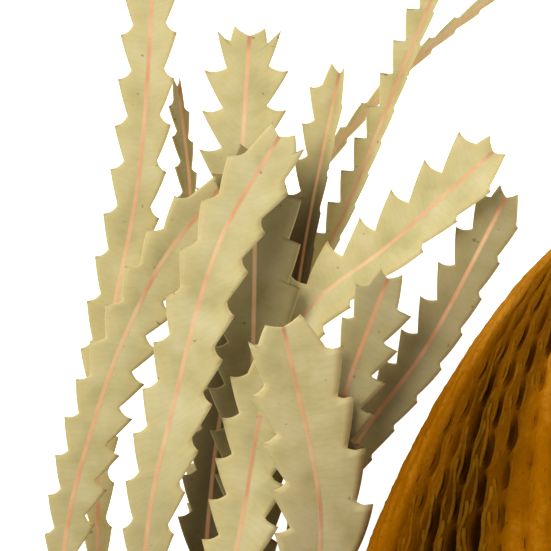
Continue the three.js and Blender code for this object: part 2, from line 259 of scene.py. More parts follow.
# the angle round the cone of a column's middle, which winds as it climbs
def columnAngle(column, far):
    wound = axisAt(far) / (cone["nose"] + cone["heel"]) * math.radians(cone["twist"])
    return column * 2 * np.pi / cone["columns"] + wound


# the same beside that line: the ribs swing from side to side
def floretAngle(column, far, across, along):
    swing = florets["sway"] * np.cos(2 * np.pi * along / unit) * np.sin(np.pi * across / columnPitch)
    return columnAngle(column, far) + (across + swing) / cone["radius"]


# points on the cone's skin, and the way out of it: far along the side, angle round it, height above it
def onCone(far, angle, height):
    step = 0.5
    radius = radiusAt(far)
    rise = radiusAt(far + step) - radiusAt(far - step)
    run = axisAt(far + step) - axisAt(far - step)
    size = np.hypot(rise, run)
    outRadius, outAlong = run / size, -rise / size
    height = height * np.minimum(1, radius / cone["finest"])
    reach = np.maximum(radius + height * outRadius, 0)
    place = leaned(angle, reach, axisAt(far) + height * outAlong) + np.array(cone["belly"])
    place[..., 2] = np.maximum(place[..., 2], cone["lowest"])
    return place, leaned(angle, outRadius, outAlong)


# painted shade: how brown the florets are, in bands round the cone, darkest in a core that drifts
def flankShade(angle, far):
    along = axisAt(far)
    whole = np.zeros(np.broadcast(angle, far).shape)
    drifted = np.clip(along - flanks["driftFrom"], 0, flanks["driftLong"])
    soft = flanks["rightSoft"] + flanks["rightSofter"] * smoothstep(*flanks["softens"], along)
    for middle, drift, left, right, broad, narrow, strength in flanks["bands"]:
        away = np.mod(angle - middle + np.pi, 2 * np.pi) - np.pi
        half = broad + (narrow - broad) * smoothstep(*flanks["narrows"], along)
        fromCore = np.abs(away - drift * drifted)
        core = smoothstep(half + flanks["coreSoft"], half - flanks["coreSoft"], fromCore)
        core = core * (1 - flanks["coreFading"] * smoothstep(*flanks["coreFades"], along))
        onRight = flanks["rightShade"] * smoothstep(right + soft, right - flanks["inside"], away)
        onLeft = flanks["leftShade"] * smoothstep(left + flanks["leftSoft"], left - flanks["inside"], -away)
        whole = np.maximum(whole, strength * np.maximum(core, np.where(away > 0, onRight, onLeft)))
    return whole * smoothstep(*flanks["ends"], along)


# how much paler the florets outside the painted shade are towards the nose
def paleAt(far, shade):
    return flanks["paler"] * smoothstep(*flanks["palerAlong"], axisAt(far)) * (1 - shade)


# the gap nearest to a place in a column: how far the place lies along from its middle, and how open it is
def nearestGap(column, far):
    start = 0.5 * (column % 2)
    row = np.rint(far / unit - start).astype(int)
    middle = (row + start) * unit
    own = gapChance[column, np.clip(row, 0, cone["rows"] + 1)]
    shade = flankShade(columnAngle(column, middle), middle)
    openness = florets["openUnshaded"] + florets["openInShade"] * shade
    openness = openness + florets["ownOpen"] * own * (florets["ownUnshaded"] + shade)
    return far - middle, np.clip(openness, *florets["openLimits"]), own


# half the width of a gap at its middle
def gapHalf(openness):
    return florets["gapHalf"] * (florets["closedHalf"] + (1 - florets["closedHalf"]) * openness)


# height of the skin and how hollow it is, at across millimetres from a gap's line
def skinHeight(across, along, openness):
    long = florets["gapLong"] * (florets["closedLong"] + (1 - florets["closedLong"]) * openness)
    reach = np.sqrt(np.clip(1 - (along / long) ** 2, 0, 1))
    outward = np.abs(across) / np.maximum(gapHalf(openness) * reach, 0.02)
    hollow = smoothstep(1.6, 0.4, outward) * np.minimum(1, 2 * reach) * openness**0.4
    rib = 0.5 - 0.5 * np.cos(2 * np.pi * across / columnPitch)
    bead = -florets["bead"] * np.cos(2 * np.pi * along / unit) * (1 - rib)
    ribbed = florets["seam"] + (florets["rib"] - florets["seam"]) * rib
    return ribbed + bead - florets["gapDepth"] * hollow, hollow


# dry florets, papery and matt: gold, mixed by the flanks' painted shade towards deep brown; the low end of
# each ramp gives the gaps their painted shade
def makeFloretMaterial(name, gold, brown):
    material, tree, shader = newMaterial(name, {"Roughness": 0.9, "Specular IOR Level": 0.0})
    place = addNode(tree, "TexCoord").outputs["Object"]
    level, shade, own = readKept(tree, "floret")
    # tufts of 1.1 mm and blotches of 8 mm
    tufts = addNode(tree, "TexNoise", {"Scale": 1 / (1.1 * mm), "Detail": 3}, {"Vector": place})
    patches = addNode(tree, "TexNoise", {"Scale": 1 / (8 * mm), "Detail": 2}, {"Vector": place})
    for source, share in ((tufts.outputs["Fac"], 0.5), (patches.outputs["Fac"], 0.36), (own, 0.12)):
        varied = addNode(tree, "Math", {"operation": "MULTIPLY_ADD", 1: share}, {0: source, 2: level})
        level = varied.outputs[0]
    # less what the two noises add in the middle
    scaled = addNode(tree, "Math", {"operation": "MULTIPLY_ADD", 1: 0.62, 2: -0.62 * 0.43}, {0: level})
    # gold ramp for florets outside the painted shade, deep brown ramp for the painted shade, mixed by it
    unshadedGold = addNode(tree, "ValToRGB", {"stops": gold}, {"Fac": scaled.outputs[0]})
    shadedBrown = addNode(tree, "ValToRGB", {"stops": brown}, {"Fac": scaled.outputs[0]})
    colour = addNode(tree, "Mix", {"data_type": "RGBA"},
                     {0: shade, 6: unshadedGold.outputs["Color"], 7: shadedBrown.outputs["Color"]})
    bump = addNode(tree, "Bump", {"Strength": 0.4, "Distance": 0.25 * mm}, {"Height": tufts.outputs["Fac"]})
    tree.links.new(colour.outputs[2], shader.inputs["Base Color"])
    tree.links.new(bump.outputs["Normal"], shader.inputs["Normal"])
    return material


# the skin of florets, with the bore for the stem
def makeSkin(material):
    far = np.linspace(0, sideLength, florets["steps"])
    far = far[(radiusAt(far) > cone["bore"] + 1) | (far > sideLength / 2)][:, None]
    rings, perColumn = len(far), len(florets["across"])
    column = np.repeat(np.arange(cone["columns"]), perColumn)[None]
    across = np.tile(florets["across"], cone["columns"])[None] * columnPitch
    along, openness, own = nearestGap(column, far)
    height, hollow = skinHeight(across, along, openness)
    # folds along each floret, and a little unevenness
    folds = np.sin(florets["foldsPerMm"] * across + 1.7 * np.sin(0.4 * far + column))
    height = height + florets["foldHeight"] * folds * (1 - hollow)
    height = height + florets["uneven"] * chance.uniform(-1, 1, height.shape)
    angle = floretAngle(column, far, across, along)
    skin, _ = onCone(far, angle, height)
    # the flanks' painted shade
    shade = flankShade(angle, far)
    inSeam = florets["seamShade"] * smoothstep(0.35, 0.1, np.abs(across) / columnPitch)
    # lightest on the ribs, darker in the seams and darkest in the gaps: painted shade in these recesses over
    # the florets' deeper brown bases; paler towards the nose
    level = 1 - hollow + (paleAt(far, shade) - inSeam) * (1 - hollow)
    shades = np.stack([level, shade, own * np.ones_like(level)], -1).reshape(-1, 3)

    # the bore: its floor, its wall and its rim
    turn = angle[0]
    bore = []
    for wide, deep in ((cone["boreMiddle"], 1), (cone["bore"], 1), (cone["bore"], 0)):
        bore.append(leaned(turn, wide, cone["boreDepth"] * deep - cone["heel"]) + cone["belly"])
    points = np.concatenate([*bore, skin.reshape(-1, 3)])
    # the bore in dark brown: painted shade inside it
    shades = np.concatenate([np.tile((0.2, 0.8, 0), (3 * len(turn), 1)), shades])
    number = np.arange(len(points)).reshape(rings + 3, len(turn))
    after = np.roll(number, -1, axis=1)
    quads = np.stack([number[:-1], number[1:], after[1:], after[:-1]], -1).reshape(-1, 4)
    faces = quads.tolist() + [number[0].tolist(), number[-1, ::-1].tolist()]
    return makePiece("floretSkin", points, faces, material, {"floret": shades})


# styles: from below a gap one runs up each side of it and on over the rib, and ends in a small knob
def makeStyles(name, way, material):
    column, row = np.meshgrid(np.arange(cone["columns"]), np.arange(cone["rows"] + 1), indexing="ij")
    column = column.reshape(-1, 1)
    middle = (row.reshape(-1, 1) + 0.5 * (column % 2)) * unit
    first, last = (end * sideLength for end in styles["ends"])
    inside = (middle[:, 0] > first) & (middle[:, 0] < last)
    column, middle = column[inside], middle[inside]
    own = chance.uniform(-1, 1, (len(column), 6))
    there = own[:, 5] < 2 * styles["share"] - 1
    column, middle, own = column[there], middle[there], own[there]
    t = np.linspace(0, 1, styles["steps"])[None]
    along = (t * (styles["long"] + styles["ownLong"] * own[:, 3:4]) - styles["long"] / 2
             + styles["ownStart"] * own[:, :1]) * unit
    _, openness, _ = nearestGap(column, middle)
    # close beside the gap where it is widest, and over the rib above and below it
    edge = gapHalf(openness) + styles["besideGap"]
    rest = np.maximum(styles["spread"], edge)
    spread = np.abs(along / (styles["spreadLong"] * unit)) ** styles["spreadPower"]
    across = way * (edge + (rest - edge) * np.minimum(styles["spreadMost"], spread)
                    + styles["ownSpread"] * own[:, 1:2])
    far = middle + along
    angle = floretAngle(column, far, across, along)
    # the flanks' painted shade
    shade = flankShade(angle, far)
    # half sunk into the skin, and outside the flanks' painted shade nearly down to the knob
    lift = (styles["foot"] + styles["rise"] * smoothstep(0, 0.3, t)
            + styles["ownRise"] * (smoothstep(0.8, 1, t) + own[:, 2:3]) - styles["unshadedSunk"] * (1 - shade))
    height = np.maximum(skinHeight(across, along, openness)[0], florets["seam"]) + lift
    place, out = onCone(far, angle, height)
    size = np.clip(radiusAt(far) / cone["radius"], 0.15, 1) ** 0.8
    girth = size * (0.95 + 0.1 * own[:, 3:4] - 0.2 * smoothstep(0.55, 0.85, t)
                    + styles["knob"] * np.exp(-((t - styles["knobAt"]) / 0.05) ** 2))
    sides = styles["sides"]
    points, faces = sweepTubes(place, out, styles["wide"] * girth, styles["high"] * girth, sides)
    # palest along the crown and at the knob, with painted shade down the sides and on the parts sunk into the
    # skin
    crown = np.maximum(0, np.sin(np.arange(sides) * 2 * np.pi / sides))
    atKnob = 0.2 * np.exp(-((t - 0.95) / 0.06) ** 2)
    level = 0.2 + 0.65 * smoothstep(-1.2, 0.2, lift) + atKnob + paleAt(far, shade)
    level = level[..., None] * (0.6 + 0.4 * crown)
    shades = np.stack(np.broadcast_arrays(level, shade[..., None], own[:, 4:5, None]), -1)
    return makePiece(name, points, faces, material, {"floret": shades.reshape(-1, 3)})


# the nap: short fine hairs, leaning towards the nose
def makeNap(material):
    tries = nap["count"] * 2
    even = np.linspace(0, 1, len(sideFar))
    share = np.interp(chance.uniform(0, 1, tries), np.cumsum(sideRadius) / sideRadius.sum(), even)
    far = np.interp(share, even, sideFar)
    column = chance.integers(0, cone["columns"], tries)
    across = chance.uniform(-0.5, 0.5, tries) * columnPitch
    along, openness, _ = nearestGap(column, far)
    height, hollow = skinHeight(across, along, openness)
    first, last = (end * sideLength for end in nap["ends"])
    onSkin = (hollow < nap["hollowMost"]) & (far > first) & (far < last)
    far, column, across, along, height = (
        values[onSkin][:nap["count"], None] for values in (far, column, across, along, height))
    own = chance.uniform(-1, 1, (len(far), 5))
    t = np.array([[0.0, 0.55, 1.0]])
    long = nap["long"] * (1 + nap["ownLong"] * own[:, :1])
    turn = t * nap["aside"] * own[:, 1:2] * long / np.maximum(radiusAt(far), 2)
    ahead = np.clip(far + t * long * nap["ahead"], 0, sideLength)
    height = height + nap["foot"] + (0.75 + 0.25 * own[:, 2:3]) * long * nap["up"] * t**0.8
    angle = floretAngle(column, far, across, along)
    place, out = onCone(ahead, angle + turn, height)
    girth = nap["radius"] * (1 - nap["taper"] * t) * np.ones_like(far)
    sides = 3
    points, faces = sweepTubes(place, out, girth, girth, sides)
    # paler towards the tips, and the flanks' painted shade as on the skin
    shades = np.stack([0.55 + 0.3 * t + 0.2 * own[:, 3:4], flankShade(angle, ahead),
                       own[:, 4:5] * np.ones_like(t)], -1)
    shades = np.repeat(shades[:, :, None], sides, axis=2).reshape(-1, 3)
    return makePiece("floretNap", points, faces, material, {"floret": shades})


# each material's gold ramp, and its deep brown ramp for the painted shade
paperyFloret = makeFloretMaterial(
    "paperyFloret", [(0.0, "#5E3300"), (0.3, "#7C4800"), (0.6, "#8C5401"), (0.95, "#B0771F")],
    [(0.0, "#170900"), (0.28, "#301700"), (0.62, "#462601")])
silkyStyle = makeFloretMaterial(
    "silkyStyle", [(0.05, "#704000"), (0.32, "#844E01"), (0.6, "#925A04"), (0.95, "#B0771F")],
    [(0.05, "#2E1700"), (0.3, "#482802"), (0.6, "#634209")])
skin = makeSkin(paperyFloret)
conePieces = [skin, makeStyles("stylesLeft", -1, silkyStyle), makeStyles("stylesRight", 1, silkyStyle),
              makeNap(silkyStyle)]
for piece in conePieces:
    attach(piece, "root")
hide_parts("cone")
print("cone made:", sum(len(p.data.polygons) for p in conePieces), "faces")


# the branch with its side shoots

branch = {
    "radius": 5, "shootRadius": 3, "shootTaper": 0.12,
    "collarRadius": 5.9, "collarLength": 24, "seatGap": 0.3,
    "forkWay": (0.2, 1, 0.4), "forkRadius": 6.75, "forkLength": 10,
    "footRadius": 2, "footLength": 3.2, "footSpread": 0.7,
    "budRadius": 3.6, "budLength": 7,
    "steps": 80, "sides": 20, "voxel": 0.55,
    "furrowDepth": 0.22, "furrowsPerMm": 2.2,
    "scarHeight": 0.25, "scarEvery": 17, "scarHalf": 0.9,
    "sunk": 0.12,  # what the furrows take off the round bars
    "lowest": 0.05,  # height above the floor
}
leanWay = np.array([math.sin(math.radians(cone["lean"])), math.cos(math.radians(cone["lean"])), 0])


def onAxis(distance):
    return np.array(cone["belly"]) + leanWay * distance


collarFoot = onAxis(-cone["heel"] + cone["boreDepth"] - branch["collarLength"])
fork = (-14, -78, 26)
axes = {
    "branch": (Track([(-28, -128, 4.8), (-21, -102, 12), fork, collarFoot, onAxis(-cone["heel"] - 2)]),
               branch["radius"]),
    "left": (Track([fork, (-40, -60, 14), (-70, -40, 12), (-90, -22, 12.5)]), branch["shootRadius"]),
    "middle": (Track([(-36, -62, 15), (-52, -44, 11.5), (-60, -26, 11), (-62, -10, 12)]),
               branch["shootRadius"]),
}

# the leaves. Fields: axis, place on it, turn round it; half width (left, right), pitch of the teeth, their
# shift (left, right), tip beyond its notch, width left at the notch (left, right), roll and fold in degrees,
# how brown it has dried, which is also painted shade where it lies under other leaves (lower part, share
# where that ends, upper part); and the points of its midrib
leafFields = ("on", "at", "turn", "half", "pitch", "shift", "tip", "notch", "roll", "fold", "dryAndShade", "path")
leafTable = [
    ("left", 0.93, -10, (6.1, 5.6), 9.2, (0.06, 0.15), 0.78, (0.58, 0.58), (0, -6), (6, 6), (0.08, 0.5, 0.06),
     [(-90.5, 16, 14), (-89.3, 56, 18), (-81.8, 98, 22), (-78.3, 149, 24)]),
    ("left", 0.96, -60, (6.4, 7.4), 8.1, (-0.23, 0.2), 0.8, (0.58, 0.55), (8, 10), (8, 8), (0.2, 0.5, 0.05),
     [(-97.6, 14, 23), (-90.4, 48, 30), (-78.6, 76, 34), (-65.5, 93.5, 34)]),
    ("left", 0.85, 30, (7.1, 7.6), 9.5, (-0.28, 0.7), 0.76, (0.62, 0.7), (0, 8), (8, 8), (0.24, 0.45, 0.04),
     [(-80.5, 18, 31), (-74, 52, 39), (-65.5, 82, 42), (-53.3, 104, 40)]),
    ("left", 0.97, 130, (3.7, 2.2), 6.5, (0, -0.3), 0.85, (0.5, 0.5), (0, 45), (10, 10), (0.35, 0.6, 0.5),
     [(-82, 21, 8), (-74.9, 56, 9), (-71.8, 88, 11), (-74.3, 115, 14)]),
    ("left", 0.88, -100, (7, 7), 8.5, (0, -0.4), 0.85, (0.55, 0.55), (0, 0), (8, 8), (0.1, 0.5, 0.1),
     [(-114, -12, 11), (-130, 8, 8), (-144, 36, 3)]),
    ("left", 0.72, -110, (6.5, 6.5), 8, (0, -0.3), 0.85, (0.55, 0.55), (0, 0), (8, 8), (0.2, 0.5, 0.2),
     [(-112, -36, 9), (-134, -32, 5), (-155, -21, 1)]),
    ("middle", 0.6, -10, (7.6, 7.6), 9, (0, -0.4), 0.85, (0.55, 0.6), (0, 4), (8, 8), (0.05, 0.4, 0),
     [(-63, 6, 24), (-59.5, 34, 29.5), (-55, 59, 36)]),
    ("middle", 0.7, -60, (6.5, 6.5), 8.5, (0, -0.2), 0.85, (0.55, 0.55), (0, 0), (6, 6), (1, 0.5, 0.85),
     [(-68.5, 6, 17.5), (-66.8, 36, 20), (-62.5, 64, 23.5)]),
    ("middle", 0.8, -15, (9, 9.4), 9, (0, -0.6), 0.9, (0.6, 0.75), (0, 0), (5, 5), (0.62, 0.5, 0.6),
     [(-59.5, 14, 20), (-59, 44, 23.5), (-58.4, 70, 28.5), (-58, 101, 32)]),
    ("middle", 0.93, -100, (8.9, 8.6), 8, (0.56, 0.68), 0.93, (0.5, 0.5), (0, 0), (5, 5), (0.1, 0.5, 0.03),
     [(-68, 16, 12.5), (-66, 58, 17), (-61.5, 94, 23), (-59.3, 125, 26)]),
    ("middle", 0.74, 45, (6, 7.2), 7.4, (0.1, -0.3), 0.93, (0.6, 0.55), (0, 8), (8, 8), (0.95, 0.7, 0.4),
     [(-49, 16, 17.5), (-41, 49, 33), (-31.5, 75.4, 42)]),
    ("middle", 0.93, 55, (8.2, 7.4), 9, (0.24, -0.1), 0.92, (0.48, 0.8), (0, 0), (5, 40), (0, 0.5, 0),
     [(-60, 24, 15.5), (-50.5, 64, 22.5), (-30, 83, 31), (-10, 101, 36)]),
    ("middle", 0.88, 95, (6.4, 5.2), 8.3, (0.32, 0), 0.88, (0.48, 0.8), (0, -12), (12, 7), (0, 0.5, 0.48),
     [(-49, 21, 13), (-36.3, 43, 20), (-22.4, 62.7, 28), (-7.3, 91.8, 34)]),
    ("middle", 0.99, 150, (5.6, 4.2), 7.6, (0, -0.3), 0.85, (0.55, 0.85), (0, 0), (8, 62), (0.95, 0.84, 0.1),
     [(-59, 21, 9.5), (-52, 56, 12.5), (-47.2, 86, 16), (-40.8, 117.6, 20)]),
    ("middle", 0.84, 150, (4.2, 2.8), 7.2, (-0.35, -0.2), 0.9, (0.4, 0.8), (0, 0), (6, 55), (0.5, 0.4, 0.1),
     [(-59, 26, 6.2), (-52, 62, 8.6), (-38.8, 91, 11), (-27.5, 119, 14), (-18, 142, 17)]),
    ("middle", 0.85, -150, (2.3, 1.7), 6.6, (0, -0.3), 0.85, (0.5, 0.6), (0, 55), (6, 6), (0.3, 0.4, 0.05),
     [(-67, 28, 4.2), (-59, 62, 4.8), (-45.2, 97.2, 6), (-25.4, 120.4, 7), (-3, 139, 8)]),
    ("branch", 0.72, -80, (10, 11), 11.3, (0.47, -0.21), 0.92, (0.65, 0.68), (8, 14), (6, 6), (0, 0.5, 0),
     [(-37, -38, 12), (-46, -3, 18), (-45, 29, 29.5), (-52.5, 65.7, 46)]),
    ("branch", 0.84, 75, (8, 8), 9.2, (0, -0.4), 0.88, (0.58, 0.55), (0, -10), (8, 8), (0.1, 0.5, 0.1),
     [(26, -48, 23), (47, -16, 18), (56, 24, 12), (58, 66, 4)]),
    ("branch", 0.75, 100, (7.5, 7.5), 9, (0, -0.2), 0.85, (0.55, 0.58), (0, 0), (8, 8), (0.25, 0.5, 0.25),
     [(22, -70, 14), (52, -48, 8), (72, -14, 4), (81, 24, 0.6)]),
    ("branch", 0.64, 95, (7.5, 7.5), 8.8, (0, -0.5), 0.9, (0.6, 0.55), (0, 0), (8, 8), (0.1, 0.5, 0.1),
     [(16, -92, 12), (46, -84, 6), (74, -64, 0.6)]),
    ("branch", 0.86, 10, (6.5, 6.5), 8.4, (0, -0.3), 0.85, (0.55, 0.55), (0, 0), (8, 8), (0, 0.5, 0),
     [(-4, -53, 66), (2, -30, 83), (7, -2, 88)]),
    ("branch", 0.8, -30, (6.5, 6.5), 8, (0, -0.1), 0.85, (0.58, 0.55), (0, 14), (8, 8), (0.1, 0.5, 0.1),
     [(-26, -57, 58), (-34, -36, 70), (-40, -8, 74)]),
    ("branch", 0.25, 90, (6.8, 6.8), 8.4, (0, -0.4), 0.88, (0.55, 0.58), (0, 0), (8, 8), (0.3, 0.5, 0.2),
     [(8, -122, 9), (36, -127, 5), (62, -122, 0.6)]),
    ("branch", 0.5, -90, (7.5, 7.5), 9, (0, -0.2), 0.85, (0.58, 0.6), (0, 0), (8, 8), (0.15, 0.5, 0.1),
     [(-50, -90, 11), (-78, -82, 5), (-104, -66, 0.6)]),
    ("branch", 0.23, -80, (6.5, 6.5), 8, (0, -0.5), 0.88, (0.55, 0.55), (0, 0), (8, 8), (0.4, 0.5, 0.3),
     [(-52, -118, 7), (-76, -122, 4), (-98, -120, 0.6)]),
]

blade = {
    "thickness": 0.45, "thinner": 0.45,  # millimetres, and the share that the margin is thinner
    "petiole": 12, "petioleHalf": 1.1, "petioleEnds": 3, "intoStem": 1.4,
    "petioleHigh": 0.95, "petioleLow": 0.75, "petioleEdge": 0.12,
    "baseShare": 0.3, "fullWidthAt": 0.62, "foldGrowth": 60, "bluntStart": 4, "bluntLength": 7,
    "hornPitch": 0.4, "hornShare": 0.36, "hornReach": 1.8, "hornClosest": 0.15,
    "ribHalf": 0.45, "ribHeight": 0.1, "ribTaper": 0.55, "underRib": 1.5,
    "droop": 0.05, "droopFrom": (10, 30), "puff": 0.1, "wavePitch": 6.5,
    "ownNotch": 0.05, "ownTip": 0.025,
    "pointAt": 0.72, "pointHalf": 0.07,  # in a tooth's length, where its long edge ends
    "longBulge": 0.015, "shortHollow": 0.13, "hornHollow": 0.05,
    "footRows": 8, "longEdge": 8, "shortEdge": 4,  # rows of faces along the foot and a tooth's two edges
    "ribColumns": (0, 0.45, 0.8, 1.0, 1.3),  # in half widths of the midrib
    "columns": 5,  # from there to the margin
}


# where a leaf's foot sits, and the way that it sets out
def leafFoot(leaf):
    track, radius = axes[leaf["on"]]
    far = leaf["at"] * track.length
    tangent = track.headingAt(far)
    right = np.cross(tangent, (0, 0, 1))
    right /= np.linalg.norm(right)
    out = turnAbout(np.cross(right, tangent), tangent, np.array(math.radians(leaf["turn"])))
    place = track.at(far) + out * radius
    way = np.array(leaf["path"][0]) - place
    way = way / np.linalg.norm(way) + branch["footSpread"] * out
    return place, way / np.linalg.norm(way)


def bladeHalf(leaf, hand, distance, length):
    grown = smoothstep(blade["petiole"], length * blade["fullWidthAt"], distance)
    ahead = max(0, length - distance)
    end = math.sqrt(min(1, (ahead + blade["bluntStart"]) / blade["bluntLength"]))
    return leaf["half"][hand] * (blade["baseShare"] + (1 - blade["baseShare"]) * grown) * end


# one half's edge (0 left, 1 right): rows of (distance on the midrib, distance at the edge, half width there,
# tooth phase)
def leafEdge(leaf, length, teeth, pitch, hand):
    own = chance.uniform(-1, 1, (teeth, 2))
    notches, tips = [], []
    for k in range(teeth):
        inPlace = blade["petiole"] + (k + leaf["shift"][hand]) * pitch
        notchAt = min(max(inPlace, blade["petiole"] / 2), length - blade["hornClosest"] * pitch)
        notch = leaf["notch"][hand] * (1 + blade["ownNotch"] * own[k, 0])
        notches.append((notchAt, max(blade["petioleHalf"], bladeHalf(leaf, hand, notchAt, length) * notch)))
        if k == teeth - 1:
            tips.append((length + blade["hornReach"], blade["hornShare"] * leaf["half"][hand]))
        else:
            tipAt = notchAt + (leaf["tip"] + blade["ownTip"] * own[k, 1]) * pitch
            tips.append((tipAt, bladeHalf(leaf, hand, tipAt, length)))
    notches.append((length, 0))

    start = -branch["seatGap"] - blade["intoStem"]
    firstAt, firstHalf = notches[0]
    rows = []
    for t in np.linspace(0, 1, blade["footRows"] + 1)[:-1]:
        rows.append((start + (blade["petiole"] - start) * t, start + (firstAt - start) * t,
                     blade["petioleHalf"] + (firstHalf - blade["petioleHalf"]) * t, 0))
    point = blade["pointAt"]
    for k in range(teeth):
        last = k == teeth - 1
        midFrom = blade["petiole"] + k * pitch
        midLong = length - midFrom if last else pitch
        a, b, c = np.array(notches[k]), np.array(tips[k]), np.array(notches[k + 1])
        bulge = np.array([-(b - a)[1], (b - a)[0]]) * blade["longBulge"]
        hollow = np.array([(c - b)[1], -(c - b)[0]]) * blade["hornHollow" if last else "shortHollow"]
        for count, low, high, base, reach, bend in ((blade["longEdge"], 0, point, a, b - a, bulge),
                                                    (blade["shortEdge"], point, 1, b, c - b, hollow)):
            for t in np.linspace(0, 1, count + 1)[:-1]:
                phase = low + (high - low) * t
                d, w = base + reach * t + bend * math.sin(math.pi * t)
                rows.append((midFrom + midLong * phase, d, w, k + phase))
    rows.append((length, length, 0.02, teeth))
    return np.array(rows)


def makeLeaf(leaf, name, material):
    place, way = leafFoot(leaf)
    root = place + way * (branch["footLength"] + branch["seatGap"])
    track = Track([root, *leaf["path"]])
    length = track.length
    shortfall = 1 - blade["hornPitch"]
    teeth = round((length - blade["petiole"]) / leaf["pitch"] + shortfall)
    pitch = (length - blade["petiole"]) / (teeth - shortfall)
    wave = chance.uniform(0, 6.28, 3)[0]
    dryShadeBelow, dryShadeEnd, dryShadeAbove = leaf["dryAndShade"]
    ribColumns = np.array(blade["ribColumns"])
    rest = np.linspace(0, 1, blade["columns"] + 1)[1:]
    rib = np.concatenate([np.sqrt(np.clip(1 - ribColumns**2, 0, 1)), np.zeros(len(rest))])

    # both halves share the midrib's points; columns run out from it to the edge
    halves = []
    for hand, sign in enumerate((-1, 1)):
        edge = leafEdge(leaf, length, teeth, pitch, hand)
        mid, far, half, phase = (edge[:, k:k + 1] for k in range(4))
        ribShare = np.clip(blade["ribHalf"] / half, 0, 0.5)
        beyond = ribShare * ribColumns[-1]
        t = np.concatenate([ribShare * ribColumns, beyond + (1 - beyond) * rest], 1)
        distance = mid + (far - mid) * t
        side = sign * half * t
        share = np.clip(distance / length, 0, 1)
        heading = track.headingAt(share * length)
        across = np.cross(heading, (0, 0, 1.0))
        across /= lengthOf(across)
        roll = np.radians(leaf["roll"][0] + (leaf["roll"][1] - leaf["roll"][0]) * share)
        across = turnAbout(across, heading, roll)
        normal = np.cross(across, heading)
        fold = math.radians(leaf["fold"][hand]) * np.clip(distance / blade["foldGrowth"], 0, 1)
        base = (track.at(share * length) + heading * (distance - share * length)[..., None]
                + across * (side * np.cos(fold))[..., None]
                + normal * (np.abs(side) * np.sin(fold))[..., None])
        # petiole round, blade flat with a rib above and a stouter one below, margins turned down a little
        flat = smoothstep(blade["petioleEnds"], blade["petiole"] + blade["petioleEnds"], distance)
        lobe = np.sin(np.pi * np.mod(phase, 1)) * np.sin(np.pi * t)
        bent = blade["puff"] * (lobe + np.sin(distance / blade["wavePitch"] + wave) * t) * flat
        bent = bent - blade["droop"] * t**4 * smoothstep(*blade["droopFrom"], distance)
        ribTall = blade["ribHeight"] * (1.15 - blade["ribTaper"] * share) * rib
        rim = np.sqrt(np.clip(1 - t**2, 0, 1))
        thick = blade["thickness"] / 2 * (1 - blade["thinner"] * t**6)
        top = (thick + ribTall) * flat + (blade["petioleHigh"] * rim + blade["petioleEdge"]) * (1 - flat)
        low = ((thick + blade["underRib"] * ribTall) * flat
               + (blade["petioleLow"] * rim + blade["petioleEdge"]) * (1 - flat))
        # for the material: place on the blade, growth, dryness with painted shade, and the points of the
        # teeth
        kept = np.stack([side, length - distance, half * (1 - t)], -1)
        dryAndShade = dryShadeAbove + (dryShadeBelow - dryShadeAbove) * smoothstep(dryShadeEnd + 0.1, dryShadeEnd - 0.12, share)
        growth = np.stack([np.broadcast_to(phase * pitch, t.shape), dryAndShade, distance], -1)
        fromPoint = (np.mod(phase, 1) - blade["pointAt"]) / blade["pointHalf"]
        point = np.exp(-fromPoint**2) * smoothstep(0.7, 1, t)
        halves.append((base + normal * (bent + top)[..., None], base + normal * (bent - low)[..., None],
                       kept, growth, point[..., None]))

    joined = [np.concatenate([left[:, ::-1], right[:, 1:]], 1) for left, right in zip(*halves)]
    rows, wide = joined[0].shape[:2]
    top, low, kept, growth, point = (values.reshape(rows * wide, -1) for values in joined)
    upper = np.arange(rows * wide).reshape(rows, wide)
    lower = upper + rows * wide
    # both faces of the blade, and the rim between them
    rims = [np.concatenate([g[:-1, 0], g[-1, :-1], g[:0:-1, -1], g[0, :0:-1]]) for g in (upper, lower)]
    after = [np.roll(rim, -1) for rim in rims]
    faces = []
    for corners in ((upper[:-1, :-1], upper[:-1, 1:], upper[1:, 1:], upper[1:, :-1]),
                    (lower[:-1, :-1], lower[1:, :-1], lower[1:, 1:], lower[:-1, 1:]),
                    (rims[0], after[0], after[1], rims[1])):
        faces += np.stack(corners, -1).reshape(-1, 4).tolist()
    piece = makePiece(name.replace("leaf", "blade"), np.concatenate([top, low]), faces, material,
                      {"blade": np.tile(kept, (2, 1)), "growth": np.tile(growth, (2, 1)),
                       "point": np.tile(point[:, 0], 2)})
    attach(piece, "root")
    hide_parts(name)
    return piece


